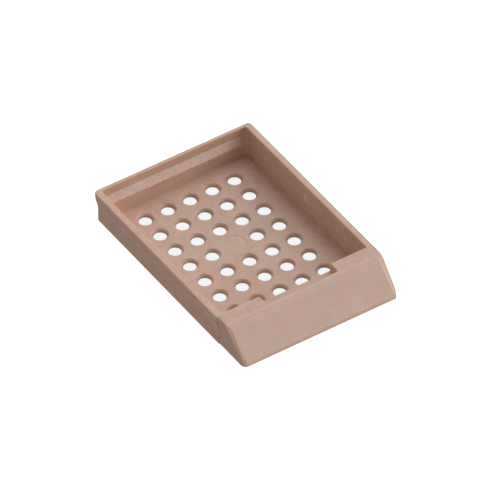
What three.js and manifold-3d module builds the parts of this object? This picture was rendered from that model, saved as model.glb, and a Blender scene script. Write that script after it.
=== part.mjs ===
// A tissue cassette base: one injection-moulded tray with a perforated floor, a thicker rim all
// round, a sloped lid ledge across its back wall and a wedge-shaped nose with a slanted writing panel.
// Millimetres, +Z up. The origin is at the middle of the footprint, on the surface it stands on.
// +X runs across the cassette, and the nose points along -Y.

import * as THREE from 'three';
import { mergeVertices } from 'three/addons/utils/BufferGeometryUtils.js';
import Module from 'manifold-3d';

// Overall size
const RIM_WIDTH = 28.5;
const LENGTH = 40.25;
const HEIGHT = 5.65;

// Walls and floor
const FLOOR_THICKNESS = 0.55;
const SIDE_RIM = 1.12; // thickness of the side walls at the rim
const SIDE_DRAFT = 0.15; // how far each side wall's inner face leans in by the floor
const BACK_RIM = 0.56; // thickness of the back wall at the rim
const INNER_CORNER_RADIUS = 0.45;

// Lip round the outside of the rim
const LIP_OVERHANG = 0.42; // from the wall's outer face to the lip's edge
const LIP_HEIGHT = 1.0; // upright part of the lip
const LIP_TAPER = 1.9; // height over which the lip runs back into the wall
const RIM_CORNER_RADIUS = 1.2;

// Sloped lid ledge on the inner face of the back wall
const LEDGE_DROP = 1.53; // from the rim down to the ledge's upper edge
const LEDGE_HEIGHT = 1.21;
const LEDGE_DEPTH = 0.82; // how much thicker the back wall is under the ledge

// Nose
const NOSE_LENGTH = 6.99; // from the front face to the compartment
const NOSE_SIDE_LENGTH = 6.57; // from the front face to where the rim's lip ends
const NOSE_STEP = 0.28; // the nose is flush with the lip on its +X side and set in this far on the other
const NOSE_DRAFT = 0.25; // how far each side of the nose leans in by its foot
const NOSE_CORNER_RADIUS = 1.0;
const PANEL_ANGLE = THREE.MathUtils.degToRad(47.9); // slope of the writing panel
const FRONT_FACE_HEIGHT = 1.0; // upright face below the panel
const PANEL_TOP_RADIUS = 1.0;
const PANEL_FOOT_RADIUS = 0.4;
const PANEL_CHAMFER = 0.45; // along the panel's two side edges

// Notch between the two tabs at the compartment's front
const NOTCH_WIDTH = 12.9;
const NOTCH_DEPTH = 1.95; // back to front
const NOTCH_DROP = 1.5; // from the rim down to the notch's seat

// Hollow on the underside of the nose
const NOSE_TOP_WALL = 1.1;
const NOSE_PANEL_WALL = 1.1;
const NOSE_FRONT_WALL = 1.0;
const NOSE_BACK_WALL = 1.1;
const NOSE_SIDE_WALL = 1.2;
const NOTCH_WALL = 1.0;

// Holes through the floor
const HOLE_PITCH = 4.07;
const HOLE_COLUMNS = 5;
const HOLE_ROWS = 7;
const HOLE_TOP_DIAMETER = 2.5;
const HOLE_BOTTOM_DIAMETER = 2.0;
const HOLE_SIDES = 24;

// Shallow moulding marks
const GATE_MARK_DIAMETER = 4.1; // on the floor, where the middle hole is left out
const GATE_MARK_DEPTH = 0.08;
const GATE_MARK_SIDES = 40;
const DIMPLE_DIAMETER = 2.4; // three on each side wall's inner face
const DIMPLE_DEPTH = 0.1;
const DIMPLE_HEIGHT = 4.2; // from the foot of the tray to a dimple's middle
const DIMPLE_PITCH = 11.25;
const DIMPLE_ROW_OFFSET = 0.45; // the middle dimple lies this far behind the compartment's middle
const DIMPLE_COUNT = 3;
const DIMPLE_SIDES = 20;

// Cutting solids reach this far past the faces that they open
const OVERCUT = 1;
const ARC_DIVISIONS = 4; // half the number of flats in each quarter round

// Where the main faces lie
const BACK_Y = LENGTH / 2;
const FRONT_Y = -LENGTH / 2;
const COMPARTMENT_FRONT_Y = FRONT_Y + NOSE_LENGTH;
const UPPER_BACK_Y = BACK_Y - BACK_RIM;
const LOWER_BACK_Y = UPPER_BACK_Y - LEDGE_DEPTH;
const COMPARTMENT_MIDDLE_Y = (COMPARTMENT_FRONT_Y + LOWER_BACK_Y) / 2;
const NOSE_BACK_Y = FRONT_Y + NOSE_SIDE_LENGTH;
const PANEL_TOP_Y = FRONT_Y + (HEIGHT - FRONT_FACE_HEIGHT) / Math.tan(PANEL_ANGLE);
const NOSE_LEFT_X = NOSE_STEP - RIM_WIDTH / 2;
const NOSE_RIGHT_X = RIM_WIDTH / 2;
const NOSE_MIDDLE_X = (NOSE_LEFT_X + NOSE_RIGHT_X) / 2;
const COMPARTMENT_HALF_WIDTH = RIM_WIDTH / 2 - SIDE_RIM;
const FLOOR_HALF_WIDTH = COMPARTMENT_HALF_WIDTH - SIDE_DRAFT;

const wasm = await Module();
wasm.setup();

// A closed three.js geometry as a solid that can be joined and cut
function solid(geometry) {
  const bare = geometry.clone();
  bare.deleteAttribute('normal');
  bare.deleteAttribute('uv');
  const merged = mergeVertices(bare);
  return new wasm.Manifold(new wasm.Mesh({
    numProp: 3,
    vertProperties: new Float32Array(merged.attributes.position.array),
    triVerts: new Uint32Array(merged.index.array),
  }));
}

// A solid as a geometry whose triangles are shaded flat
function geometryOf(result) {
  const mesh = result.getMesh();
  const shared = new THREE.BufferGeometry();
  shared.setAttribute('position', new THREE.BufferAttribute(new Float32Array(mesh.vertProperties), 3));
  shared.setIndex(new THREE.BufferAttribute(new Uint32Array(mesh.triVerts), 1));
  const geometry = shared.toNonIndexed();
  geometry.computeVertexNormals();
  return geometry;
}

// A closed outline through corners listed anticlockwise as [x, y] or [x, y, radius]
function outline(corners) {
  const shape = new THREE.Shape();
  corners.forEach(([x, y, radius = 0], i) => {
    const corner = new THREE.Vector2(x, y);
    if (radius === 0) {
      if (i === 0) shape.moveTo(x, y);
      else shape.lineTo(x, y);
      return;
    }
    const before = new THREE.Vector2(...corners.at(i - 1)).sub(corner).normalize();
    const after = new THREE.Vector2(...corners[(i + 1) % corners.length]).sub(corner).normalize();
    const halfAngle = Math.acos(before.dot(after)) / 2;
    const centre = before.clone().add(after).normalize()
      .multiplyScalar(radius / Math.sin(halfAngle)).add(corner);
    const reach = radius / Math.tan(halfAngle);
    const start = before.clone().multiplyScalar(reach).add(corner).sub(centre);
    const end = after.clone().multiplyScalar(reach).add(corner).sub(centre);
    shape.absarc(centre.x, centre.y, radius, start.angle(), end.angle(), before.cross(after) > 0);
  });
  shape.closePath();
  return shape;
}

// A rectangle as outline corners, with one radius for its back pair and one for its front pair
function rectangle(left, right, front, back, backRadius = 0, frontRadius = 0) {
  return outline([
    [left, front, frontRadius],
    [right, front, frontRadius],
    [right, back, backRadius],
    [left, back, backRadius],
  ]);
}

// Plan outline in (x, y), raised from one height to another
function raise(shape, bottom, top) {
  const geometry = new THREE.ExtrudeGeometry(shape, {
    depth: top - bottom,
    bevelEnabled: false,
    curveSegments: ARC_DIVISIONS,
  });
  geometry.translate(0, 0, bottom);
  return solid(geometry);
}

// Side profile in (y, z), swept along X
function sweepAcross(shape, left, right) {
  const geometry = new THREE.ExtrudeGeometry(shape, {
    depth: right - left,
    bevelEnabled: false,
    curveSegments: ARC_DIVISIONS,
  });
  geometry.applyMatrix4(new THREE.Matrix4().makeBasis(
    new THREE.Vector3(0, 1, 0),
    new THREE.Vector3(0, 0, 1),
    new THREE.Vector3(1, 0, 0),
  ));
  geometry.translate(left, 0, 0);
  return solid(geometry);
}

// Front profile in (x, z), swept along Y
function sweepLengthways(shape, front, back) {
  const geometry = new THREE.ExtrudeGeometry(shape, {
    depth: back - front,
    bevelEnabled: false,
    curveSegments: ARC_DIVISIONS,
  });
  geometry.rotateX(Math.PI / 2);
  geometry.translate(0, back, 0);
  return solid(geometry);
}

// Outer walls from the foot up, with the lip round the rim: an outline at the wall's face is
// bevelled out to the lip's edge, and the bevel's upper half is cut off at the rim
function tray() {
  const wallRadius = RIM_CORNER_RADIUS - LIP_OVERHANG;
  const wallHalfWidth = RIM_WIDTH / 2 - LIP_OVERHANG;
  const wallBackY = BACK_Y - LIP_OVERHANG;
  const footprint = rectangle(-wallHalfWidth, wallHalfWidth, NOSE_BACK_Y, wallBackY, wallRadius);
  const lip = new THREE.ExtrudeGeometry(footprint, {
    depth: LIP_HEIGHT,
    bevelThickness: LIP_TAPER,
    bevelSize: LIP_OVERHANG,
    bevelSegments: 1,
    curveSegments: ARC_DIVISIONS,
  });
  lip.translate(0, 0, HEIGHT - LIP_HEIGHT);
  const reachX = RIM_WIDTH;
  const keep = raise(rectangle(-reachX, reachX, NOSE_BACK_Y, BACK_Y + OVERCUT), 0, HEIGHT);
  return raise(footprint, 0, HEIGHT).add(solid(lip)).intersect(keep);
}

// Wedge at the front: its side profile, cut to its drafted sides, rounded front corners and the
// chamfers that run down the two side edges of the writing panel
function nose() {
  const left = NOSE_LEFT_X;
  const right = NOSE_RIGHT_X;
  const backY = COMPARTMENT_FRONT_Y;
  const profile = outline([
    [FRONT_Y, 0],
    [backY, 0],
    [backY, HEIGHT],
    [PANEL_TOP_Y, HEIGHT, PANEL_TOP_RADIUS],
    [FRONT_Y, FRONT_FACE_HEIGHT, PANEL_FOOT_RADIUS],
  ]);
  const sides = outline([
    [left + NOSE_DRAFT, 0],
    [right - NOSE_DRAFT, 0],
    [right, HEIGHT],
    [left, HEIGHT],
  ]);
  const plan = rectangle(left, right, FRONT_Y, NOSE_BACK_Y, 0, NOSE_CORNER_RADIUS);
  return sweepAcross(profile, left, right)
    .intersect(sweepLengthways(sides, FRONT_Y, backY))
    .intersect(raise(plan, 0, HEIGHT))
    .intersect(chamferedSlab());
}

// A thick slab under the writing panel's plane, with its two long upper edges chamfered
function chamferedSlab() {
  const left = NOSE_LEFT_X;
  const right = NOSE_RIGHT_X;
  const depth = 2 * NOSE_LENGTH;
  const section = outline([
    [left, -depth],
    [right, -depth],
    [right, -PANEL_CHAMFER],
    [right - PANEL_CHAMFER, 0],
    [left + PANEL_CHAMFER, 0],
    [left, -PANEL_CHAMFER],
  ]);
  const geometry = new THREE.ExtrudeGeometry(section, { depth: 2 * depth, bevelEnabled: false });
  geometry.translate(0, 0, -depth);
  geometry.rotateX(Math.PI / 2);
  geometry.rotateX(PANEL_ANGLE);
  geometry.translate(0, PANEL_TOP_Y, HEIGHT);
  return solid(geometry);
}

// Space that the tissue lies in: drafted sides, the stepped back wall and rounded upright corners
function compartment() {
  const top = HEIGHT + OVERCUT;
  const across = outline([
    [-FLOOR_HALF_WIDTH, FLOOR_THICKNESS],
    [FLOOR_HALF_WIDTH, FLOOR_THICKNESS],
    [COMPARTMENT_HALF_WIDTH, HEIGHT],
    [COMPARTMENT_HALF_WIDTH, top],
    [-COMPARTMENT_HALF_WIDTH, top],
    [-COMPARTMENT_HALF_WIDTH, HEIGHT],
  ]);
  const along = outline([
    [COMPARTMENT_FRONT_Y, FLOOR_THICKNESS],
    [LOWER_BACK_Y, FLOOR_THICKNESS],
    [LOWER_BACK_Y, HEIGHT - LEDGE_DROP - LEDGE_HEIGHT],
    [UPPER_BACK_Y, HEIGHT - LEDGE_DROP],
    [UPPER_BACK_Y, top],
    [COMPARTMENT_FRONT_Y, top],
  ]);
  const plan = rectangle(-COMPARTMENT_HALF_WIDTH, COMPARTMENT_HALF_WIDTH,
    COMPARTMENT_FRONT_Y, UPPER_BACK_Y, INNER_CORNER_RADIUS);
  return sweepLengthways(across, COMPARTMENT_FRONT_Y, UPPER_BACK_Y)
    .intersect(sweepAcross(along, -COMPARTMENT_HALF_WIDTH, COMPARTMENT_HALF_WIDTH))
    .intersect(raise(plan, 0, top));
}

// Open-topped notch between the two tabs, whose flat seat runs out into the compartment
function notch() {
  const halfWidth = NOTCH_WIDTH / 2;
  const plan = rectangle(NOSE_MIDDLE_X - halfWidth, NOSE_MIDDLE_X + halfWidth,
    COMPARTMENT_FRONT_Y - NOTCH_DEPTH, COMPARTMENT_FRONT_Y + NOTCH_DEPTH);
  return raise(plan, HEIGHT - NOTCH_DROP, HEIGHT + OVERCUT);
}

// Hollow under the writing panel, open below, which leaves even walls and steps down under the notch
function noseHollow() {
  const frontY = FRONT_Y + NOSE_FRONT_WALL;
  const backY = COMPARTMENT_FRONT_Y - NOSE_BACK_WALL;
  const roof = HEIGHT - NOSE_TOP_WALL;
  const panelDrop = NOSE_PANEL_WALL / Math.cos(PANEL_ANGLE);
  const panelInside = (y) => HEIGHT - panelDrop - (PANEL_TOP_Y - y) * Math.tan(PANEL_ANGLE);
  const roofEndY = PANEL_TOP_Y + (panelDrop - NOSE_TOP_WALL) / Math.tan(PANEL_ANGLE);
  const profile = outline([
    [frontY, -OVERCUT],
    [backY, -OVERCUT],
    [backY, roof],
    [roofEndY, roof],
    [frontY, panelInside(frontY)],
  ]);
  const aroundNotch = raise(rectangle(
    NOSE_MIDDLE_X - NOTCH_WIDTH / 2 - NOTCH_WALL,
    NOSE_MIDDLE_X + NOTCH_WIDTH / 2 + NOTCH_WALL,
    COMPARTMENT_FRONT_Y - NOTCH_DEPTH - NOTCH_WALL,
    COMPARTMENT_FRONT_Y,
  ), HEIGHT - NOTCH_DROP - NOTCH_WALL, HEIGHT);
  return sweepAcross(profile, NOSE_LEFT_X + NOSE_SIDE_WALL, NOSE_RIGHT_X - NOSE_SIDE_WALL)
    .subtract(aroundNotch);
}

// Tapered holes in a grid on the floor's middle, with the middle one left out for the gate mark
function perforations() {
  const taper = (HOLE_TOP_DIAMETER - HOLE_BOTTOM_DIAMETER) / 2 / FLOOR_THICKNESS;
  const cutter = new THREE.CylinderGeometry(
    HOLE_TOP_DIAMETER / 2 + taper * OVERCUT,
    HOLE_BOTTOM_DIAMETER / 2 - taper * OVERCUT,
    FLOOR_THICKNESS + 2 * OVERCUT,
    HOLE_SIDES,
  );
  cutter.rotateX(Math.PI / 2);
  cutter.translate(0, COMPARTMENT_MIDDLE_Y, FLOOR_THICKNESS / 2);
  const middleColumn = (HOLE_COLUMNS - 1) / 2;
  const middleRow = (HOLE_ROWS - 1) / 2;
  const holes = [];
  for (let column = 0; column < HOLE_COLUMNS; column += 1) {
    for (let row = 0; row < HOLE_ROWS; row += 1) {
      if (column === middleColumn && row === middleRow) continue;
      const x = (column - middleColumn) * HOLE_PITCH;
      const y = (row - middleRow) * HOLE_PITCH;
      holes.push(solid(cutter.clone().translate(x, y, 0)));
    }
  }
  return holes;
}

// Round shallow sink where the plastic entered the mould
function gateMark() {
  const radius = GATE_MARK_DIAMETER / 2;
  const cutter = new THREE.CylinderGeometry(radius, radius, OVERCUT, GATE_MARK_SIDES);
  cutter.rotateX(Math.PI / 2);
  cutter.translate(0, COMPARTMENT_MIDDLE_Y, FLOOR_THICKNESS - GATE_MARK_DEPTH + OVERCUT / 2);
  return solid(cutter);
}

// Round shallow dimples on the inner faces of both side walls
function dimples() {
  const rise = (DIMPLE_HEIGHT - FLOOR_THICKNESS) / (HEIGHT - FLOOR_THICKNESS);
  const faceX = FLOOR_HALF_WIDTH + SIDE_DRAFT * rise;
  const radius = DIMPLE_DIAMETER / 2;
  const cutters = [];
  for (const side of [-1, 1]) {
    for (let i = 0; i < DIMPLE_COUNT; i += 1) {
      const cutter = new THREE.CylinderGeometry(radius, radius, OVERCUT, DIMPLE_SIDES);
      cutter.rotateZ(Math.PI / 2);
      cutter.translate(
        side * (faceX + DIMPLE_DEPTH - OVERCUT / 2),
        COMPARTMENT_MIDDLE_Y + DIMPLE_ROW_OFFSET + (i - (DIMPLE_COUNT - 1) / 2) * DIMPLE_PITCH,
        DIMPLE_HEIGHT,
      );
      cutters.push(solid(cutter));
    }
  }
  return cutters;
}

function cassetteBase() {
  const cutters = [compartment(), notch(), noseHollow(), gateMark(), ...perforations(), ...dimples()];
  return cutters.reduce((body, cutter) => body.subtract(cutter), tray().add(nose()));
}

const base = new THREE.Mesh(
  geometryOf(cassetteBase()),
  new THREE.MeshStandardMaterial({ color: 0xbf9b87, roughness: 0.55, metalness: 0 }),
);
base.name = 'cassette_base';

const cassette = new THREE.Group();
cassette.add(base);

export default cassette;
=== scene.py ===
import math

import bmesh
import bpy
from mathutils import Matrix, Vector


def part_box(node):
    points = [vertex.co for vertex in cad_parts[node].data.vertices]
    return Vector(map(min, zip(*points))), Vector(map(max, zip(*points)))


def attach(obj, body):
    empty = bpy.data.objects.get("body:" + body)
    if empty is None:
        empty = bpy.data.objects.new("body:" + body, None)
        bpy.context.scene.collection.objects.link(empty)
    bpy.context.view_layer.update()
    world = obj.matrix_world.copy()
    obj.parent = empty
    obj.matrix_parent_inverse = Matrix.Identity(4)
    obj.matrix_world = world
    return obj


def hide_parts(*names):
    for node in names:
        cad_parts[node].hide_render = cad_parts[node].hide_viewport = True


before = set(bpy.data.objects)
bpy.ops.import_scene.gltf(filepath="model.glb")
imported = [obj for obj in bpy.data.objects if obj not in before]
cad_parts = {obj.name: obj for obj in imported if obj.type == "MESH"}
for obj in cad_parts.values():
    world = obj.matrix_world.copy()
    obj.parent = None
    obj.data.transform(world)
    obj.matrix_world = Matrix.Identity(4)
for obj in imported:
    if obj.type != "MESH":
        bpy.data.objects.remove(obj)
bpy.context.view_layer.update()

# ---------------------------------------------------------------------------------------------------
# Camera: a long lens far off at the front left, looking down into the compartment. Its aim is a point
# near the cassette's middle and a shift right and up from there, all in millimetres.
# ---------------------------------------------------------------------------------------------------
mm = 0.001
camera_turn = math.radians(33.85)
camera_tilt = math.radians(42.745)
camera_distance = 1500
camera_lens = 713.3
aim_point = Vector((0, 2.745, -0.1))
aim_right = 2.2483
aim_up = -0.236

right = Vector((math.cos(camera_turn), -math.sin(camera_turn), 0))
level_ahead = Vector((math.sin(camera_turn), math.cos(camera_turn), 0))
forward = level_ahead * math.cos(camera_tilt) - Vector((0, 0, math.sin(camera_tilt)))
up = right.cross(forward)
target = aim_point + right * aim_right + up * aim_up
camera_data = bpy.data.cameras.new("camera")
camera_data.lens = camera_lens
camera_data.sensor_width = 36
camera_data.clip_end = 20
camera = bpy.data.objects.new("camera", camera_data)
camera.location = (target - forward * camera_distance) * mm
camera.rotation_euler = Matrix((right, up, -forward)).transposed().to_euler()
bpy.context.scene.collection.objects.link(camera)
bpy.context.scene.camera = camera


# ---------------------------------------------------------------------------------------------------
# Outside of the moulded base: one injection-moulded piece of flesh-pink acetal, with upright walls, a
# lip round the rim, and a wedge nose whose slanted panel takes the writing. Every level cut through
# it is one closed ring, so the skin is a stack of rings from the foot to the rim.
# ---------------------------------------------------------------------------------------------------
# Sizes are in millimetres up to the studio, and pairs are {1: right side, -1: left side}
base_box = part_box("cassette_base")
rim_width, length, height = (round((high - low) / mm, 3) for low, high in zip(*base_box))
floor_thickness = 0.62

lip_overhang = 0.42
lip_height = 1.0
lip_taper = 1.9
lip_bend = 0.16
rim_corner_radius = 0.72
rim_outer_round = 0.13
wall_foot_round = 0.08

nose_length = 6.99
nose_side_length = 6.57
nose_step = 0.2
nose_step_run = 0.42
nose_draft = {1: 0.12, -1: 0.35}
nose_corner_radius = {1: 0.45, -1: 0.9}
nose_corner_run = {1: 0.5, -1: 0.6}
nose_foot_round = 0.1
panel_slope = math.radians(47.9)
front_face_height = 1.0
panel_top_radius = 1.15
panel_foot_radius = 0.4
panel_strip_top = {1: 0.8, -1: 0.56}
panel_strip_top_level = 4.9
panel_strip_foot = {1: 0.45, -1: 0.22}
panel_strip_drop = {1: 0.14, -1: 0.3}
panel_strip_soft = 0.12
panel_strip_round = 0.08

back_y = length / 2
front_y = -length / 2
nose_back_y = front_y + nose_side_length
panel_top_y = front_y + (height - front_face_height) / math.tan(panel_slope)

small_round_steps = 4
round_steps = 6
nose_step_steps = 6
panel_turn_steps = 8
back_corner_steps = 10
plain_outside_levels = [0.6, 0.75, 1.3, 1.5, 1.75, 2.0, 2.2, 3.4, 3.9, 4.3, 5.0]
panel_foot_bend = (0.84, 1.115)


def ease(low, high, value):
    """0 below low, 1 above high, and a smooth run between them."""
    t = min(max((value - low) / (high - low), 0.0), 1.0)
    return t * t * (3 - 2 * t)


def between(a, b, t):
    return a + (b - a) * t


def spaced(low, high, count):
    return [between(low, high, i / (count - 1)) for i in range(count)]


def quarter_round(steps):
    """A quarter round of radius 1, step by step: how much of its first leg is left, and how much of
    its second leg has come."""
    angles = [k / steps * math.pi / 2 for k in range(steps + 1)]
    return [(1 - math.sin(angle), 1 - math.cos(angle)) for angle in angles]


def softened(value, corner, reach, slope):
    """A line that turns off level at a corner and drops at a slope, with a soft bend of that reach."""
    past = value - corner
    if past <= -reach:
        return 0.0
    if past >= reach:
        return past * slope
    return slope * (past + reach) ** 2 / (4 * reach)


def lip_inset(z):
    """How far the wall's face lies inside the lip's edge at a level."""
    slope = lip_overhang / lip_taper
    down = height - z
    out_of_lip = softened(down, lip_height, lip_bend, slope)
    into_wall = softened(down, lip_height + lip_taper, 2 * lip_bend, slope)
    return out_of_lip - into_wall


def panel_line_y(z):
    """Where the front face and the slanted panel lie at a level, below the turn at the panel's top."""
    turn = math.pi / 2 - panel_slope
    reach = panel_foot_radius * math.tan(turn / 2)
    start = front_face_height - reach
    end = front_face_height + reach * math.sin(panel_slope)
    if z <= start:
        return front_y
    if z >= end:
        return front_y + (z - front_face_height) / math.tan(panel_slope)
    angle = math.asin((z - start) / panel_foot_radius)
    return front_y + panel_foot_radius * (1 - math.cos(angle))


def strip_profile(side, z):
    """The narrow strip along a side of the slanted panel, from the panel's face to the nose's side: a
    soft bend, a lean towards the side, and a small round. Distances in from the side, and depths."""
    soft = panel_strip_soft
    r = panel_strip_round
    up_the_panel = ease(front_face_height, panel_strip_top_level, z)
    width = between(panel_strip_foot[side], panel_strip_top[side], up_the_panel)
    lean = panel_strip_drop[side] / width
    places = spaced(width + soft, width - soft, 7)
    places += [between(width - soft, r, share) for share in (0.35, 0.7)]
    profile = [(place, softened(width - place, 0.0, soft, lean)) for place in places]
    foot = softened(width - r, 0.0, soft, lean)
    profile += [(r * left, foot + r * come) for left, come in quarter_round(small_round_steps)]
    return profile


def nose_corner(side, z, shrink):
    """The nose's upright corner, from the front to the side, as distances in from the side and back
    from the front: a round at the foot, the strip's profile up the panel, and a small round where the
    panel turns into the flat."""
    profile = strip_profile(side, z)
    share = ease(0.0, nose_corner_run[side], panel_line_y(z) - front_y)
    corner = []
    for rounded, (in_from_side, depth) in zip(quarter_round(len(profile) - 1), profile):
        rounded = Vector(rounded)
        p = Vector((in_from_side, depth / math.sin(panel_slope)))
        p = p.lerp(rounded * rim_outer_round, shrink)
        corner.append((rounded * nose_corner_radius[side]).lerp(p, share))
    return corner


def outer_ring(z, front, shrink=0.0):
    """The outside at one level, anticlockwise from above, as (x, y, outward x, outward y, nose share,
    front share). front is where the front edge lies."""
    half_width = rim_width / 2
    inset = lip_inset(z)
    down = (height - z) / height
    ring = []
    for side in (1, -1):
        nose_x = half_width - nose_draft[side] * down - (nose_step if side < 0 else 0.0)
        half = []
        corner = nose_corner(side, z, shrink)
        for i, (away, back) in enumerate(corner):
            t = i / (len(corner) - 1)
            normal = (math.sin(t * math.pi / 2), -math.cos(t * math.pi / 2))
            half.append((nose_x - away, front + back, *normal, 1.0, 1 - t))
        for t in spaced(0.0, 1.0, nose_step_steps + 1):
            share = 1 - ease(0, 1, t)
            x = between(half_width - inset, nose_x, share)
            half.append((x, nose_back_y + (t - 0.5) * nose_step_run, 1.0, 0.0, share, 0.0))
        radius = rim_corner_radius - inset
        for angle in spaced(0.0, math.pi / 2, back_corner_steps + 1):
            x = half_width - rim_corner_radius + radius * math.cos(angle)
            y = back_y - rim_corner_radius + radius * math.sin(angle)
            half.append((x, y, math.cos(angle), math.sin(angle), 0.0, 0.0))
        if side < 0:
            half = [(-x, y, -nx, ny, nose, ahead) for x, y, nx, ny, nose, ahead in reversed(half)]
        ring.extend(half)
    return ring


def bent_ring(outline, level, out, rise):
    """The points of an outline (x, y, outward x, outward y, r) at a level, moved outward and up by
    those shares of each point's own r."""
    return [
        Vector((x + nx * r * out, y + ny * r * out, level + r * rise)) for x, y, nx, ny, r in outline
    ]


def outside_rings():
    """Every ring of the outside, from the foot's flat up to the rim's flat."""
    foot = [
        (x, y, nx, ny, between(wall_foot_round, nose_foot_round, nose))
        for x, y, nx, ny, nose, _ in outer_ring(nose_foot_round, front_y)
    ]
    rings = [bent_ring(foot, 0.0, -left, come) for left, come in quarter_round(round_steps)[:-1]]

    taper_foot = height - lip_height - lip_taper
    lip_foot = height - lip_height
    levels = [nose_foot_round] + plain_outside_levels
    levels += spaced(*panel_foot_bend, 6)
    levels += spaced(taper_foot - 2 * lip_bend, taper_foot + 2 * lip_bend, 7)
    levels += spaced(lip_foot - lip_bend, lip_foot + lip_bend, 7)
    for z in sorted(levels):
        rings.append([Vector((p[0], p[1], z)) for p in outer_ring(z, panel_line_y(z))])

    turn_start_y = panel_top_y + panel_top_radius * math.tan(panel_slope / 2)
    for k, (left, come) in enumerate(quarter_round(panel_turn_steps)):
        t = k / panel_turn_steps
        slant = panel_slope * (1 - t)
        ahead_y = turn_start_y - panel_top_radius * math.sin(slant)
        ahead_z = height - panel_top_radius * (1 - math.cos(slant))
        side_z = height - rim_outer_round * left
        away = rim_outer_round * come
        ring = []
        for x, y, nx, ny, _, ahead in outer_ring(height, ahead_y, shrink=ease(0, 1, t)):
            share = 1 - ease(0, 1, ahead)
            ring.append(Vector((
                x - nx * away * share,
                y - ny * away * share * (1 - ahead),
                between(ahead_z, side_z, share),
            )))
        rings.append(ring)
    return rings


# ---------------------------------------------------------------------------------------------------
# Inside of the moulded base: the compartment that the tissue lies in. Its side walls lean in a
# little and a sloped ledge crosses the back wall to seat a lid. It is a stack of rings too, with a
# rounded mouth at the rim and a fillet at the floor.
# ---------------------------------------------------------------------------------------------------
side_rim = 1.12
side_draft = 0.15
back_rim = 0.56
compartment_corner_radius = 0.45
compartment_front_radius = 0.16
ledge_drop = 1.53
ledge_height = 1.21
ledge_depth = 0.82
ledge_soft = 0.08
floor_fillet = 0.12
side_mouth_round = 0.16
back_mouth_round = 0.12
tab_mouth_round = 0.2
plain_inside_levels = [1.6, 2.3, 3.3, 3.7, 4.5, 4.9]

compartment_front_y = front_y + nose_length
upper_back_y = back_y - back_rim
lower_back_y = upper_back_y - ledge_depth
compartment_middle_y = (compartment_front_y + lower_back_y) / 2
rim_inner_x = rim_width / 2 - side_rim
wall_lean = side_draft / (height - floor_thickness)


def rounded_ring(corners):
    """Corners (x, y, radius, value along the next edge), anticlockwise, as points on the rounded
    outline: (x, y, outward x, outward y, value)."""
    ring = []
    for i, (x, y, radius, value) in enumerate(corners):
        previous = corners[i - 1]
        following = corners[(i + 1) % len(corners)]
        corner = Vector((x, y))
        arrive = (corner - Vector(previous[:2])).normalized()
        leave = (Vector(following[:2]) - corner).normalized()
        turn = math.atan2(arrive.x * leave.y - arrive.y * leave.x, arrive.dot(leave))
        inward = Vector((-arrive.y, arrive.x))
        centre = corner - arrive * radius * math.tan(turn / 2) + inward * radius
        for t in spaced(0.0, 1.0, round_steps + 1):
            outward = Matrix.Rotation(turn * t, 2) @ (-inward)
            ring.append((*(centre + outward * radius), *outward, between(previous[3], value, t)))
    return ring


def side_wall_x(z):
    return rim_inner_x - wall_lean * (height - z)


def ledge_y(z):
    """Where the back wall's inner face lies at a level."""
    slope = ledge_depth / ledge_height
    down = height - z
    upper = softened(down, ledge_drop, ledge_soft, slope)
    lower = softened(down, ledge_drop + ledge_height, ledge_soft, slope)
    return upper_back_y - upper + lower


def compartment_ring(z):
    half_width = side_wall_x(z)
    near = compartment_front_y
    far = ledge_y(z)
    return rounded_ring([
        (-half_width, near, compartment_front_radius, tab_mouth_round),
        (half_width, near, compartment_front_radius, side_mouth_round),
        (half_width, far, compartment_corner_radius, back_mouth_round),
        (-half_width, far, compartment_corner_radius, side_mouth_round),
    ])


def mouth_rings(outline):
    """The rounded mouth of an opening in the rim, from the rim's flat down to where its walls stand
    upright. Each point's own r is the mouth's radius there."""
    return [bent_ring(outline, height, come, -left) for left, come in quarter_round(round_steps)[::-1]]


def inside_rings():
    """Every ring of the inside, from the rim's flat down to the floor's flat."""
    rings = mouth_rings(compartment_ring(height))
    ledge_top = height - ledge_drop
    ledge_foot = ledge_top - ledge_height
    levels = plain_inside_levels + spaced(ledge_top - ledge_soft, ledge_top + ledge_soft, 5)
    levels += spaced(ledge_foot - ledge_soft, ledge_foot + ledge_soft, 5)
    for z in sorted(levels, reverse=True):
        rings.append([Vector((p[0], p[1], z)) for p in compartment_ring(z)])
    foot = [(*p[:4], floor_fillet) for p in compartment_ring(floor_thickness + floor_fillet)]
    for left, come in quarter_round(round_steps):
        rings.append(bent_ring(foot, floor_thickness, -come, left))
    return rings


def skin(bm, rings):
    """Quads between one ring and the next. Returns the first ring's and the last ring's vertices."""
    rows = [[bm.verts.new(p) for p in ring] for ring in rings]
    for low, high in zip(rows, rows[1:]):
        for i in range(len(low)):
            j = (i + 1) % len(low)
            bm.faces.new((low[i], low[j], high[j], high[i]))
    return rows[0], rows[-1]


def ring_edges(bm, row):
    return [bm.edges.get((a, b)) for a, b in zip(row, row[1:] + row[:1])]


def draw_blank(bm):
    foot_row, rim_row = skin(bm, outside_rings())
    mouth_row, floor_row = skin(bm, inside_rings())
    bm.faces.new(list(reversed(foot_row)))
    bm.faces.new(floor_row)
    rim_edges = ring_edges(bm, rim_row) + ring_edges(bm, mouth_row)
    bmesh.ops.triangle_fill(bm, use_beauty=True, edges=rim_edges, normal=(0, 0, 1))
    bmesh.ops.recalc_face_normals(bm, faces=bm.faces)


def loose_object(name, draw):
    """An object whose mesh is drawn by a function."""
    bm = bmesh.new()
    draw(bm)
    mesh = bpy.data.meshes.new(name)
    bm.to_mesh(mesh)
    bm.free()
    made = bpy.data.objects.new(name, mesh)
    bpy.context.scene.collection.objects.link(made)
    return made


moulding = loose_object("cassette_base_moulding", draw_blank)

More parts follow.
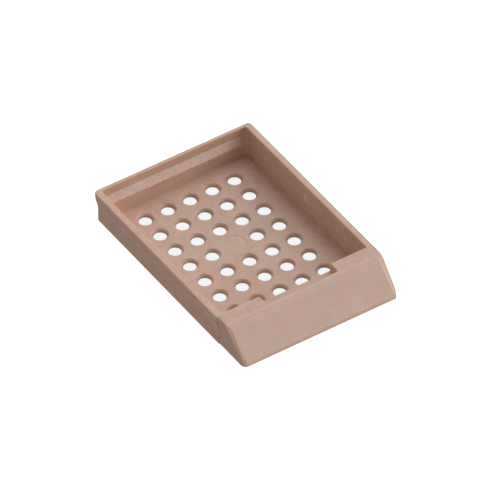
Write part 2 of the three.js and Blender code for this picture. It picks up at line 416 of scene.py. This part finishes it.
# ---------------------------------------------------------------------------------------------------
# Hollow under the slanted panel. The mould cores the nose out from below, so that its walls stay
# even and it doesn't sink as it cools. The core's edges are rounded, and its roof steps down under
# the notch.
# ---------------------------------------------------------------------------------------------------
core_top_wall = 1.1
core_panel_wall = 1.1
core_front_wall = 1.0
core_back_wall = 1.1
core_side_wall = 1.2
core_notch_wall = 1.0
core_round = 0.25
notch_width = 12.9
notch_depth = 1.95
notch_drop = 1.5
nose_middle_x = 0.14
overcut = 1.0

notch_seat = height - notch_drop
notch_front_y = compartment_front_y - notch_depth


def solid_object(name, rings):
    """An object that is one closed solid, from its rings, with a flat cap at each end."""
    def draw(bm):
        for cap in skin(bm, rings):
            bm.faces.new(cap)
        bmesh.ops.recalc_face_normals(bm, faces=bm.faces)
    return loose_object(name, draw)


def settle(piece):
    """Works the piece's modifiers into its mesh and takes them off."""
    bpy.context.view_layer.update()
    seen = piece.evaluated_get(bpy.context.evaluated_depsgraph_get())
    mesh = bpy.data.meshes.new_from_object(seen)
    piece.modifiers.clear()
    piece.data = mesh


def cut(piece, tool):
    modifier = piece.modifiers.new("cut", "BOOLEAN")
    modifier.operation = "DIFFERENCE"
    modifier.solver = "MANIFOLD"
    modifier.object = tool
    settle(piece)
    bpy.data.objects.remove(tool)


core_front_y = front_y + core_front_wall
core_back_y = compartment_front_y - core_back_wall
core_roof = height - core_top_wall
core_panel_drop = core_panel_wall / math.cos(panel_slope)
core_roof_end_y = panel_top_y + (core_panel_drop - core_top_wall) / math.tan(panel_slope)
core_front_top = height - core_panel_drop - (panel_top_y - core_front_y) * math.tan(panel_slope)
core_profile = [
    (core_front_y, -overcut),
    (core_back_y, -overcut),
    (core_back_y, core_roof),
    (core_roof_end_y, core_roof),
    (core_front_y, core_front_top),
]
core_sides = (-rim_width / 2 + nose_step + core_side_wall, rim_width / 2 - core_side_wall)
core = solid_object("core", [[(x, y, z) for y, z in core_profile] for x in core_sides])
around = notch_width / 2 + core_notch_wall
step_plan = [
    (nose_middle_x - around, notch_front_y - core_notch_wall),
    (nose_middle_x + around, notch_front_y - core_notch_wall),
    (nose_middle_x + around, compartment_front_y + overcut),
    (nose_middle_x - around, compartment_front_y + overcut),
]
step_levels = (notch_seat - core_notch_wall, height)
cut(core, solid_object("core_step", [[(x, y, z) for x, y in step_plan] for z in step_levels]))
rounding = core.modifiers.new("round", "BEVEL")
rounding.width = core_round
rounding.segments = 3
rounding.limit_method = "ANGLE"
rounding.angle_limit = math.radians(25)
settle(core)
cut(moulding, core)

# ---------------------------------------------------------------------------------------------------
# Notch between the two tabs. Its flat seat lies under the rim, about level with the top of the ledge at
# the back, and opens onto the compartment. The mould's own step forms it, so its edges are rounded.
# ---------------------------------------------------------------------------------------------------
notch_corner_radius = 0.3
notch_fillet = 0.12
notch_mouth_round = 0.25
notch_side_round = 0.2
notch_run_out = 0.6
notch_end_radius = 0.05


def notch_rings():
    """The open space over the seat, from the seat's flat up past the rim."""
    left = nose_middle_x - notch_width / 2
    right = nose_middle_x + notch_width / 2
    back = compartment_front_y + notch_run_out
    outline = rounded_ring([
        (left, notch_front_y, notch_corner_radius, notch_mouth_round),
        (right, notch_front_y, notch_corner_radius, notch_side_round),
        (right, back, notch_end_radius, notch_side_round),
        (left, back, notch_end_radius, notch_side_round),
    ])
    foot = [(*p[:4], notch_fillet) for p in outline]
    rings = [bent_ring(foot, notch_seat, -left, come) for left, come in quarter_round(round_steps)]
    rings += mouth_rings(outline)[::-1]
    rings.append([p + Vector((0, 0, overcut)) for p in rings[-1]])
    return rings


cut(moulding, solid_object("notch", notch_rings()))

# ---------------------------------------------------------------------------------------------------
# Two details that the mould leaves: the right end of the panel's upper edge is eased off in a wider
# bend than its middle, and the lip's left face has a small pit some way behind the nose.
# ---------------------------------------------------------------------------------------------------
eased_radius = 3.0
eased_width = 0.62
eased_lift = 0.05
eased_forward = 0.7
easing_overhang = 0.4
easing_steps = 8
bend_steps = 10
bend_flat_run = 1.0
bend_panel_run = 1.6
easing_back_y = -11.0
easing_foot = 2.2
pit_place = (-rim_width / 2, -7.515, 5.09)
pit_size = (0.1, 0.13, 0.2)


def bent_line(radius, drop):
    """The turn from the flat into the panel, (y, z), for an edge that lies a drop below the panel."""
    corner_y = panel_top_y + drop / math.sin(panel_slope)
    centre_y = corner_y + radius * math.tan(panel_slope / 2)
    line = [(centre_y + bend_flat_run, height)]
    for slant in spaced(0.0, panel_slope, bend_steps + 1):
        line.append((centre_y - radius * math.sin(slant), height - radius * (1 - math.cos(slant))))
    y, z = line[-1]
    down = (bend_panel_run * math.cos(panel_slope), bend_panel_run * math.sin(panel_slope))
    return line + [(y - down[0], z - down[1])]


def easing_rings():
    """What is taken off the right end of the panel's upper edge: deepest at the nose's side, and
    running out above the surface at its inner end."""
    rings = []
    for away in spaced(-easing_overhang, eased_width, easing_steps + 1):
        inward = ease(0.0, 1.0, max(away, 0.0) / eased_width)
        radius = between(eased_radius, panel_top_radius, inward)
        lift = between(0.0, eased_lift, inward)
        line = bent_line(radius, between(panel_strip_drop[1], 0.0, inward))
        ring = [(y - lift * eased_forward, z + lift) for y, z in line]
        ring += [
            (front_y - overcut, easing_foot),
            (front_y - overcut, height + overcut),
            (easing_back_y, height + overcut),
        ]
        rings.append([(rim_width / 2 - away, y, z) for y, z in ring])
    return rings


cut(moulding, solid_object("easing_right", easing_rings()))
pit = loose_object("pit", lambda bm: bmesh.ops.create_icosphere(bm, subdivisions=3, radius=1.0))
pit.data.transform(Matrix.LocRotScale(Vector(pit_place), None, Vector(pit_size)))
cut(moulding, pit)


# ---------------------------------------------------------------------------------------------------
# Perforations: 34 round holes through the floor, in a grid of five by seven without its middle one.
# Pins in the mould leave them, so they narrow a little towards the underside, and their upper edge
# opens in a wide rounded bevel.
# ---------------------------------------------------------------------------------------------------
hole_pitch = 4.07
hole_columns = 5
hole_rows = 7
hole_neck_diameter = 2.11
hole_foot_diameter = 2.09
hole_mouth_flare = 0.40
hole_mouth_drop = 0.39
hole_mouth_round = 0.4
hole_mouth_steps = 7
hole_sides = 56
grid_middle_x = 0.03
grid_middle_y = compartment_middle_y + 0.12


def new_tree(name, sizes):
    """A node tree that takes the moulding in and hands it back, with a named input for each size."""
    tree = bpy.data.node_groups.new(name, "GeometryNodeTree")
    face = tree.interface
    face.new_socket("Moulding", in_out="OUTPUT", socket_type="NodeSocketGeometry")
    face.new_socket("Moulding", in_out="INPUT", socket_type="NodeSocketGeometry")
    for label, kind in sizes.items():
        face.new_socket(label, in_out="INPUT", socket_type="NodeSocket" + kind)
    return tree, tree.nodes.new("NodeGroupInput").outputs, tree.nodes.new("NodeGroupOutput").inputs


def add(tree, kind, inputs, **settings):
    """A node with its settings, and each input set to a number or linked to a socket."""
    node = tree.nodes.new(kind)
    for setting, value in settings.items():
        setattr(node, setting, value)
    for key, value in inputs.items():
        if isinstance(value, bpy.types.NodeSocket):
            tree.links.new(value, node.inputs[key])
        else:
            node.inputs[key].default_value = value
    return node.outputs[0]


def work_out(tree, operation, a, b=0.0, clamp=False):
    return add(tree, "ShaderNodeMath", {0: a, 1: b}, operation=operation, use_clamp=clamp)


def turned_plug(tree, points, level, radius, sides):
    """A closed solid of revolution round Z, from a level and a radius for each point of its side."""
    line = add(tree, "GeometryNodeCurvePrimitiveLine", {"End": (0, 0, 1)})
    line = add(tree, "GeometryNodeResampleCurve", {"Curve": line, "Count": points})
    place = add(tree, "ShaderNodeCombineXYZ", {"Z": level})
    line = add(tree, "GeometryNodeSetPosition", {"Geometry": line, "Position": place})
    circle = add(tree, "GeometryNodeCurvePrimitiveCircle", {"Resolution": sides, "Radius": 1.0})
    return add(tree, "GeometryNodeCurveToMesh", {
        "Curve": line, "Profile Curve": circle, "Scale": radius, "Fill Caps": True,
    })


def quarter_turn(tree, steps, rounded=1.0):
    """The rise and the run, 0 to 1, of a rounded corner over the points that follow the second, and
    level before and after. Rounded is 1 for a true quarter turn and 0 for a straight bevel."""
    index = add(tree, "GeometryNodeInputIndex", {})
    share = work_out(tree, "DIVIDE", work_out(tree, "SUBTRACT", index, 1), steps, clamp=True)
    angle = work_out(tree, "MULTIPLY", share, math.pi / 2)
    true_rise = work_out(tree, "SINE", angle)
    true_run = work_out(tree, "SUBTRACT", 1.0, work_out(tree, "COSINE", angle))
    corner = []
    for true in (true_rise, true_run):
        past_bevel = work_out(tree, "SUBTRACT", true, share)
        corner.append(work_out(tree, "ADD", share, work_out(tree, "MULTIPLY", rounded, past_bevel)))
    return index, *corner


def take_out(tree, size, out, points, plug, turn=(0.0, 0.0, 0.0)):
    """Cuts a plug out of the moulding at each point, and hands the result back."""
    plugs = add(tree, "GeometryNodeInstanceOnPoints", {
        "Points": points, "Instance": plug, "Rotation": turn,
    })
    plugs = add(tree, "GeometryNodeRealizeInstances", {"Geometry": plugs})
    body = add(tree, "GeometryNodeMeshBoolean", {
        "Mesh 1": size["Moulding"], "Mesh 2": plugs,
    }, operation="DIFFERENCE", solver="MANIFOLD")
    body = add(tree, "GeometryNodeRealizeInstances", {"Geometry": body})
    tree.links.new(body, out[0])


def perforation_tree():
    tree, size, out = new_tree("perforations", {
        "Pitch": "Float", "Columns": "Int", "Rows": "Int", "Middle": "Vector",
        "Neck Diameter": "Float", "Foot Diameter": "Float", "Floor": "Float", "Mouth Flare": "Float",
        "Mouth Drop": "Float", "Mouth Round": "Float", "Overcut": "Float", "Sides": "Int",
    })
    index, rise, run = quarter_turn(tree, hole_mouth_steps, size["Mouth Round"])
    top = work_out(tree, "MULTIPLY", size["Neck Diameter"], 0.5)
    bottom = work_out(tree, "MULTIPLY", size["Foot Diameter"], 0.5)
    neck = work_out(tree, "SUBTRACT", size["Floor"], size["Mouth Drop"])
    taper = work_out(tree, "DIVIDE", work_out(tree, "SUBTRACT", top, bottom), neck)
    down = work_out(tree, "ADD", neck, size["Overcut"])
    foot = work_out(tree, "LESS_THAN", index, 0.5)
    head = work_out(tree, "GREATER_THAN", index, hole_mouth_steps + 1.5)
    level = work_out(tree, "ADD", neck, work_out(tree, "MULTIPLY", size["Mouth Drop"], rise))
    level = work_out(tree, "ADD", level, work_out(tree, "MULTIPLY", size["Overcut"], head))
    level = work_out(tree, "SUBTRACT", level, work_out(tree, "MULTIPLY", down, foot))
    radius = work_out(tree, "ADD", top, work_out(tree, "MULTIPLY", size["Mouth Flare"], run))
    narrow = work_out(tree, "MULTIPLY", work_out(tree, "MULTIPLY", taper, down), foot)
    radius = work_out(tree, "SUBTRACT", radius, narrow)
    pin = turned_plug(tree, hole_mouth_steps + 3, level, radius, size["Sides"])

    across, along = (
        work_out(tree, "MULTIPLY", work_out(tree, "SUBTRACT", size[count], 1), size["Pitch"])
        for count in ("Columns", "Rows")
    )
    grid = add(tree, "GeometryNodeMeshGrid", {
        "Size X": across, "Size Y": along, "Vertices X": size["Columns"], "Vertices Y": size["Rows"],
    })
    count = work_out(tree, "MULTIPLY", size["Columns"], size["Rows"])
    middle = work_out(tree, "DIVIDE", work_out(tree, "SUBTRACT", count, 1), 2)
    place = add(tree, "GeometryNodeInputIndex", {})
    off_middle = work_out(tree, "ABSOLUTE", work_out(tree, "SUBTRACT", place, middle))
    grid = add(tree, "GeometryNodeDeleteGeometry", {
        "Geometry": grid, "Selection": work_out(tree, "LESS_THAN", off_middle, 0.5),
    })
    grid = add(tree, "GeometryNodeTransform", {"Geometry": grid, "Translation": size["Middle"]})
    take_out(tree, size, out, grid, pin)
    return tree


def run_tree(piece, tree, sizes):
    """Puts the tree on the piece with these sizes, and works the result into its mesh."""
    modifier = piece.modifiers.new(tree.name, "NODES")
    modifier.node_group = tree
    for socket in tree.interface.items_tree:
        if socket.in_out == "INPUT" and socket.name in sizes:
            modifier[socket.identifier] = sizes[socket.name]
    settle(piece)


run_tree(moulding, perforation_tree(), {
    "Pitch": hole_pitch,
    "Columns": hole_columns,
    "Rows": hole_rows,
    "Middle": (grid_middle_x, grid_middle_y, 0.0),
    "Neck Diameter": hole_neck_diameter,
    "Foot Diameter": hole_foot_diameter,
    "Floor": floor_thickness,
    "Mouth Flare": hole_mouth_flare,
    "Mouth Drop": hole_mouth_drop,
    "Mouth Round": hole_mouth_round,
    "Overcut": overcut,
    "Sides": hole_sides,
})


# ---------------------------------------------------------------------------------------------------
# Round marks that the mould leaves: a wide shallow one in the middle of the floor, where the plastic
# entered, and three on the inner face of each side wall, where the ejector pins stood.
# ---------------------------------------------------------------------------------------------------
gate_mark_diameter = 4.1
gate_mark_depth = 0.055
gate_mark_soft = 0.16
gate_mark_sides = 64
pin_mark_diameter = 1.9
pin_mark_depth = 0.1
pin_mark_soft = 0.35
pin_mark_height = 3.55
pin_mark_pitch = 11.15
pin_mark_offset = 0.45
pin_mark_count = 3
pin_mark_sides = 40
mark_steps = 5


def mark_tree():
    tree, size, out = new_tree("round_marks", {
        "Start": "Vector", "Step": "Vector", "Count": "Int", "Turn": "Vector",
        "Diameter": "Float", "Depth": "Float", "Soft": "Float", "Overcut": "Float", "Sides": "Int",
    })
    index, rise, run = quarter_turn(tree, mark_steps)
    head = work_out(tree, "LESS_THAN", index, 0.5)
    level = work_out(tree, "MULTIPLY", size["Depth"], work_out(tree, "MULTIPLY", rise, -1))
    level = work_out(tree, "ADD", level, work_out(tree, "MULTIPLY", size["Overcut"], head))
    half = work_out(tree, "MULTIPLY", size["Diameter"], 0.5)
    radius = work_out(tree, "SUBTRACT", half, work_out(tree, "MULTIPLY", size["Soft"], run))
    plug = turned_plug(tree, mark_steps + 2, level, radius, size["Sides"])
    row = add(tree, "GeometryNodeMeshLine", {
        "Count": size["Count"], "Start Location": size["Start"], "Offset": size["Step"],
    })
    take_out(tree, size, out, row, plug, size["Turn"])
    return tree


round_marks = mark_tree()
run_tree(moulding, round_marks, {
    "Start": (grid_middle_x, grid_middle_y, floor_thickness),
    "Step": (0.0, 0.0, 0.0),
    "Count": 1,
    "Turn": (0.0, 0.0, 0.0),
    "Diameter": gate_mark_diameter,
    "Depth": gate_mark_depth,
    "Soft": gate_mark_soft,
    "Overcut": overcut,
    "Sides": gate_mark_sides,
})
wall_face_x = side_wall_x(pin_mark_height)
mark_middle_y = compartment_middle_y + pin_mark_offset
first_mark_y = mark_middle_y - pin_mark_pitch * (pin_mark_count - 1) / 2
for side in (1, -1):
    run_tree(moulding, round_marks, {
        "Start": (side * wall_face_x, first_mark_y, pin_mark_height),
        "Step": (0.0, pin_mark_pitch, 0.0),
        "Count": pin_mark_count,
        "Turn": (0.0, -side * (math.pi / 2 - math.atan(wall_lean)), 0.0),
        "Diameter": pin_mark_diameter,
        "Depth": pin_mark_depth,
        "Soft": pin_mark_soft,
        "Overcut": overcut,
        "Sides": pin_mark_sides,
    })

# ---------------------------------------------------------------------------------------------------
# The moulding is whole now: its faces are shaded smooth up to the mould's sharp edges, and its mesh
# goes over to metres.
# ---------------------------------------------------------------------------------------------------
sharp_from = math.radians(32)

for face in moulding.data.polygons:
    face.use_smooth = True
moulding.data.set_sharp_from_angle(angle=sharp_from)
weighted = moulding.modifiers.new("even_shading", "WEIGHTED_NORMAL")
weighted.keep_sharp = True
weighted.weight = 100
settle(moulding)
moulding.data.transform(Matrix.Scale(mm, 4))


# ---------------------------------------------------------------------------------------------------
# Finish: flesh-pink acetal as it leaves a spark-eroded mould, a little cloudy, with a fine grain and
# very slow waves. The slanted panel is etched more matt, to hold ink. Light and shade are also painted
# into the colour: thin edges are painted warmer and paler, a painted highlight for light that passes
# through them, the panel's turn, its strips and the pin marks get painted highlights, and the nose's
# left side, the upper back wall, the holes' walls, a step line and a pit get painted shade.
# ---------------------------------------------------------------------------------------------------
flesh_deep = (0.680, 0.436, 0.322, 1)
flesh_pale = (0.805, 0.542, 0.417, 1)
panel_tint = (0.755, 0.520, 0.410, 1)
# Painted shade and painted highlights, laid over the plastic's own colour
painted_side_shade = (0.620, 0.430, 0.325, 1)
painted_back_shade = (0.700, 0.440, 0.300, 1)
painted_bore_shade = (0.564, 0.416, 0.333, 1)
painted_edge_light = (0.930, 0.600, 0.440, 1)
painted_turn_highlight = (0.850, 0.610, 0.495, 1)
painted_thin_highlight = (0.930, 0.680, 0.560, 1)
painted_mark_glint = (0.980, 0.760, 0.640, 1)
painted_step_shadow = (0.420, 0.280, 0.210, 1)
painted_pit_shade = (0.300, 0.170, 0.120, 1)
cloud_size = 3.6
cloud_share = 0.34
mottle_size = 1.2
mottle_share = 0.28
grain_size = 0.42
grain_share = 0.38
grain_relief = 0.0045
deep_share = 0.38
pale_share = 0.62
spark_size = 0.13
spark_relief = 0.0022
wave_size = 5.0
wave_relief = 0.024
moulded_roughness = 0.40
etched_roughness = 0.12
uneven_roughness = 0.22
subsurface_depth = 0.9 * mm
subsurface_spread = (1.0, 0.3, 0.18)

acetal = bpy.data.materials.new("flesh_pink_acetal")
acetal.use_nodes = True
finish = acetal.node_tree
shader = finish.nodes["Principled BSDF"]


def pick(kind, inputs, output, **settings):
    """The named output of a node in the finish."""
    return add(finish, kind, inputs, **settings).node.outputs[output]


def patterned(size, detail, roughness=0.5):
    """A soft random pattern, 0 to 1, whose patches are about that many millimetres across."""
    return pick("ShaderNodeTexNoise", {
        "Vector": place_mm, "Scale": 1.0 / size, "Detail": detail, "Roughness": roughness,
    }, "Fac")


def times(first, *others):
    for other in others:
        first = work_out(finish, "MULTIPLY", first, other)
    return first


def plus(first, *others):
    for other in others:
        first = work_out(finish, "ADD", first, other)
    return first


def minus(a, b):
    return work_out(finish, "SUBTRACT", a, b)


def unsigned(a):
    return work_out(finish, "ABSOLUTE", a)


def run_between(value, low, high, at_low, at_high):
    return add(finish, "ShaderNodeMapRange", {
        "Value": value, "From Min": low, "From Max": high, "To Min": at_low, "To Max": at_high,
    }, clamp=True)


def rising(value, low, high):
    """0 where the value is under low, 1 where it is over high, and a straight run between them."""
    return run_between(value, low, high, 0.0, 1.0)


def falling(value, low, high):
    return run_between(value, low, high, 1.0, 0.0)


def band(value, start, full, fade, end):
    return times(rising(value, start, full), falling(value, fade, end))


def along_direction(direction):
    return pick("ShaderNodeVectorMath", {0: place_mm, 1: direction}, "Value", operation="DOT_PRODUCT")


def distance_from(point):
    return pick("ShaderNodeVectorMath", {0: place_mm, 1: point}, "Value", operation="DISTANCE")


def blend_colours(share, first, second):
    node = add(finish, "ShaderNodeMix", {0: share, 6: first, 7: second}, data_type="RGBA").node
    return node.outputs[2]


place = pick("ShaderNodeTexCoord", {}, "Object")
place_mm = add(finish, "ShaderNodeMapping", {"Vector": place, "Scale": (1 / mm, 1 / mm, 1 / mm)})
clouds = patterned(cloud_size, 3.0, 0.55)
mottle = patterned(mottle_size, 2.0, 0.55)
grain = patterned(grain_size, 2.0, 0.6)
sparks = patterned(spark_size, 2.0, 0.6)
waves = patterned(wave_size, 1.0)
across, along, level = add(finish, "ShaderNodeSeparateXYZ", {"Vector": place_mm}).node.outputs
far_out = unsigned(across)

# The etched panel, and the turn above it, which gets a painted highlight, paler than the panel
panel_offset = -front_y * math.sin(panel_slope) + front_face_height * math.cos(panel_slope)
over_panel = along_direction((0.0, -math.sin(panel_slope), math.cos(panel_slope)))
off_panel = unsigned(minus(over_panel, panel_offset))
above_front_face = rising(level, front_face_height - 0.1, front_face_height + 0.15)
on_panel = times(falling(off_panel, 0.02, 0.05), above_front_face)
turn_core = 0.1
turn_reach = 0.7
near_rim = rising(level, height - 0.75, height - 0.55)
from_turn = unsigned(minus(along, panel_top_y - 0.08))
on_turn_highlight = times(falling(from_turn, turn_core, turn_reach), near_rim)

# The rim's flat over the walls and the rounds just under the flat, which get a painted highlight,
# warmer and paler
flat_skin = 0.02
edge_depth = 0.22
edge_top = height - flat_skin
flat_foot = edge_top - flat_skin
on_edge_highlight = times(
    band(level, edge_top - edge_depth, flat_foot, flat_foot, edge_top),
    rising(along, panel_top_y + 0.5, panel_top_y + 0.9),
)
over_side_walls = rising(far_out, rim_inner_x - 0.18, rim_inner_x + 0.02)
over_back_wall = rising(along, upper_back_y - 0.1, upper_back_y)
on_rim_highlight = times(
    work_out(finish, "MAXIMUM", over_side_walls, over_back_wall),
    rising(level, flat_foot, edge_top),
    rising(along, compartment_front_y - 0.6, compartment_front_y),
)

# The lip's left edge and the tabs' edges over the compartment, which get painted highlights, and
# the back wall's inner face above the ledge, which gets painted shade, darker and warmer
lip_edge_x = -rim_width / 2
tab_edge_y = compartment_front_y - 0.02
tab_edge_width = 0.3
on_lip_highlight = times(falling(across, lip_edge_x + 0.05, lip_edge_x + 0.13), near_rim)
on_upper_back_shade = band(
    along, upper_back_y - 0.12, upper_back_y - 0.04, upper_back_y + 0.05, upper_back_y + 0.12
)
on_tab_edge_highlight = times(
    band(along, tab_edge_y - tab_edge_width, tab_edge_y - 0.1, tab_edge_y, tab_edge_y + 0.02),
    rising(level, height - 0.35, height - 0.25),
    falling(far_out, rim_inner_x - 0.03, rim_inner_x + 0.17),
)

# Painted shade on the nose's left side and in the pit, and a painted shadow line where the nose
# meets the wall
left_skin_x = nose_step + nose_draft[-1] + 0.1 - rim_width / 2
step_line_y = nose_back_y - 0.02
step_line_width = 0.2
on_nose_side_shade = times(
    falling(across, left_skin_x - 0.05, left_skin_x), falling(along, nose_back_y - 0.1, nose_back_y)
)
on_step_shadow = times(
    falling(unsigned(minus(along, step_line_y)), step_line_width * 0.4, step_line_width),
    falling(across, left_skin_x, left_skin_x + 0.1),
    band(level, 0.6, 0.9, height - 0.95, height - 0.45),
)
pit_core = 0.1
pit_reach = 0.26
on_pit_shade = falling(distance_from(pit_place), pit_core, pit_reach)

# The strips along the panel's two sides: a painted highlight on the left strip, and a painted
# highlight line along the right strip's inner edge
beside_panel = times(
    falling(along, panel_top_y - 0.1, panel_top_y + 0.5),
    rising(level, front_face_height - 0.3, front_face_height + 0.1),
)


def strip_bands(side, foot_in, grow):
    """Distances in from the nose's side, and past a line that runs further in as it climbs."""
    in_from_side = plus(
        along_direction((-side, 0.0, nose_draft[side] / height)),
        rim_width / 2 - nose_draft[side] - (nose_step if side < 0 else 0.0),
    )
    return in_from_side, minus(in_from_side, plus(times(level, grow), foot_in))


in_from_left, past_strip = strip_bands(-1, foot_in=0.12, grow=0.083)
on_strip_highlight = times(rising(in_from_left, 0.02, 0.07), falling(past_strip, -0.1, 0.05), beside_panel)
_, past_bead = strip_bands(1, foot_in=0.36, grow=0.09)
on_bead_highlight = times(band(past_bead, -0.2, -0.06, 0.02, 0.18), beside_panel)

# Painted glints in the ejector pins' marks, a little lower and closer together than the marks
spot_pitch = pin_mark_pitch - 0.5
spot_height = pin_mark_height - 0.35
spot_core = 0.1
spot_reach = 0.6
along_row = add(finish, "ShaderNodeMath", {
    0: minus(along, mark_middle_y), 1: spot_pitch / 2, 2: -spot_pitch / 2,
}, operation="WRAP")
spot = add(finish, "ShaderNodeCombineXYZ", {"X": along_row, "Y": minus(level, spot_height)})
from_spot = pick("ShaderNodeVectorMath", {0: spot}, "Value", operation="LENGTH")
on_mark_glint = times(
    falling(from_spot, spot_core, spot_reach),
    band(far_out, wall_face_x - 0.3, wall_face_x - 0.05, rim_inner_x + 0.17, rim_inner_x + 0.47),
    rising(along, compartment_front_y, compartment_front_y + 0.5),
)

# Painted shade on the holes' walls, darker and greyer, below the floor's top and within the
# compartment, but not the round mark in the grid's middle
bore_top = floor_thickness - 0.1
floor_edge_x = side_wall_x(floor_thickness)
mark_radius = gate_mark_diameter / 2
from_middle = distance_from((grid_middle_x, grid_middle_y, floor_thickness))
on_bore_shade = times(
    falling(level, bore_top - 0.28, bore_top),
    rising(level, 0.005, 0.04),
    rising(from_middle, mark_radius + 0.1, mark_radius + 0.25),
    falling(far_out, floor_edge_x - 0.2, floor_edge_x),
    band(along, compartment_front_y, compartment_front_y + 0.4, lower_back_y - 0.3, lower_back_y),
)

mixed = plus(times(clouds, cloud_share), times(mottle, mottle_share), times(grain, grain_share))
colour = blend_colours(rising(mixed, deep_share, pale_share), flesh_deep, flesh_pale)
# Over the plastic's own colour: the etched panel's tint, then painted shade and painted highlights
for where, strength, tint in (
    (on_panel, 0.5, panel_tint),
    (on_nose_side_shade, 0.5, painted_side_shade),
    (on_upper_back_shade, 0.4, painted_back_shade),
    (on_edge_highlight, 0.9, painted_edge_light),
    (on_rim_highlight, 0.25, painted_edge_light),
    (on_bore_shade, 0.9, painted_bore_shade),
    (on_mark_glint, 0.65, painted_mark_glint),
    (on_turn_highlight, 0.5, painted_turn_highlight),
    (on_tab_edge_highlight, 0.6, painted_thin_highlight),
    (on_strip_highlight, 1.0, painted_edge_light),
    (on_bead_highlight, 1.0, painted_thin_highlight),
    (on_lip_highlight, 0.5, painted_edge_light),
    (on_step_shadow, 0.45, painted_step_shadow),
    (on_pit_shade, 0.75, painted_pit_shade),
):
    colour = blend_colours(times(where, strength), colour, tint)
finish.links.new(colour, shader.inputs["Base Color"])

roughness = plus(times(on_panel, etched_roughness), moulded_roughness)
roughness = plus(roughness, times(minus(grain, 0.5), uneven_roughness))
finish.links.new(roughness, shader.inputs["Roughness"])

relief = plus(times(waves, wave_relief), times(grain, grain_relief), times(sparks, spark_relief))
bump = pick("ShaderNodeBump", {"Height": relief, "Distance": mm, "Strength": 1.0}, "Normal")
finish.links.new(bump, shader.inputs["Normal"])

shader.inputs["IOR"].default_value = 1.48
shader.inputs["Specular IOR Level"].default_value = 0.8
shader.inputs["Subsurface Weight"].default_value = 0.15
shader.inputs["Subsurface Radius"].default_value = subsurface_spread
shader.inputs["Subsurface Scale"].default_value = subsurface_depth
moulding.data.materials.clear()
moulding.data.materials.append(acetal)

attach(moulding, "root")
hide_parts("cassette_base")


# ---------------------------------------------------------------------------------------------------
# Studio, in metres: a pale floor and a white surround, neither of them part of the cassette. The floor
# is a few thin sheets, each seen by some kinds of ray only, so that what the picture shows, what
# lights the plastic from below and what glints in it are set apart.
# ---------------------------------------------------------------------------------------------------
white = (1, 1, 1, 1)
warm_white = (1, 0.85, 0.80, 1)
sheet_gap = 0.00001
floor_half_size = 2.0
near_half_size = 0.06
near_middle_y = front_y * mm - near_half_size - 0.0005
shade_half_width = 0.0125
shade_stretch = 1.3
shade_middle_y = 0.0035
surround_radius = 6.0


def stage_piece(name, draw, place, material, glow, seen_by, shade=0.0, tint=white):
    """A plain glowing piece of the studio that only some kinds of ray see."""
    piece = loose_object(name, draw)
    piece.data.transform(place)
    for ray in ("camera", "diffuse", "glossy", "shadow", "transmission", "volume_scatter"):
        setattr(piece, "visible_" + ray, ray in seen_by)
    plain = bpy.data.materials.new(material)
    plain.use_nodes = True
    inputs = plain.node_tree.nodes["Principled BSDF"].inputs
    inputs["Base Color"].default_value = (shade, shade, shade, 1)
    inputs["Roughness"].default_value = 0.9
    inputs["Specular IOR Level"].default_value = 0.0
    inputs["Emission Color"].default_value = tint
    inputs["Emission Strength"].default_value = glow
    piece.data.materials.append(plain)


def floor_sheet(name, half_width, middle_y, sheets_down, *look, stretch=1.0, **more):
    place = Matrix.Translation((0, middle_y, -sheets_down * sheet_gap))
    stage_piece(name, lambda bm: bmesh.ops.create_grid(bm, size=half_width),
                place @ Matrix.Diagonal((1, stretch, 1, 1)), *look, **more)


floor_sheet("floor_bounce", floor_half_size, 0, 5,
            "pale_floor", 0.355, ("diffuse", "glossy"), tint=warm_white)
floor_sheet("near_floor", near_half_size, near_middle_y, 3, "lit_floor", 0.60, ("diffuse",))
floor_sheet("near_sheen", near_half_size, near_middle_y, 3, "glossy_floor", 0.95, ("glossy",))
floor_sheet("floor_face", floor_half_size, 0, 4, "bright_floor", 0.88, ("camera",), shade=0.8)
# A painted shadow: a slightly dimmer sheet under the cassette, which the camera sees through the holes
# in place of the tray's own shadow
floor_sheet("shaded_floor", shade_half_width, shade_middle_y, 2,
            "shaded_floor", 0.905, ("camera",), stretch=shade_stretch)
stage_piece("surround",
            lambda bm: bmesh.ops.create_icosphere(bm, subdivisions=4, radius=surround_radius),
            Matrix(), "white_surround", 1.0, ("camera",))

# ---------------------------------------------------------------------------------------------------
# Soft lights: a key high on the right, weaker ones round and above it, low fills all round, and one in
# front that only glints. Each is (height angle, direction from +X anticlockwise, strength).
# ---------------------------------------------------------------------------------------------------
light_width = math.radians(30)
surround_light = 0.145
soft_lights = {
    "front_right_fill": (15, 315, 0.268),
    "front_gloss": (20, 288, 0.158),
    "right_back_fill": (15, 45, 0.063),
    "back_fill": (15, 90, 0.119),
    "back_left_fill": (15, 135, 0.027),
    "front_left_fill": (15, 225, 0.04),
    "key": (40, 0, 0.16),
    "key_back": (40, 45, 0.069),
    "key_front": (40, 315, 0.038),
    "left_back": (40, 135, 0.045),
    "top_back": (65, 45, 0.155),
    "top": (65, 0, 0.02),
}
for name, (rise, around_z, strength) in soft_lights.items():
    sun = bpy.data.lights.new(name, "SUN")
    sun.energy = strength * math.pi
    sun.angle = light_width
    lamp = bpy.data.objects.new(name, sun)
    rise = math.radians(rise)
    around_z = math.radians(around_z)
    toward = Vector((
        math.cos(rise) * math.cos(around_z), math.cos(rise) * math.sin(around_z), math.sin(rise)
    ))
    lamp.rotation_euler = toward.to_track_quat("Z", "Y").to_euler()
    lamp.visible_diffuse = name != "front_gloss"
    bpy.context.scene.collection.objects.link(lamp)
world = bpy.data.worlds.new("studio")
bpy.context.scene.world = world
world.use_nodes = True
world.node_tree.nodes["Background"].inputs["Color"].default_value = white
world.node_tree.nodes["Background"].inputs["Strength"].default_value = surround_light
bpy.context.scene.view_settings.view_transform = "Standard"
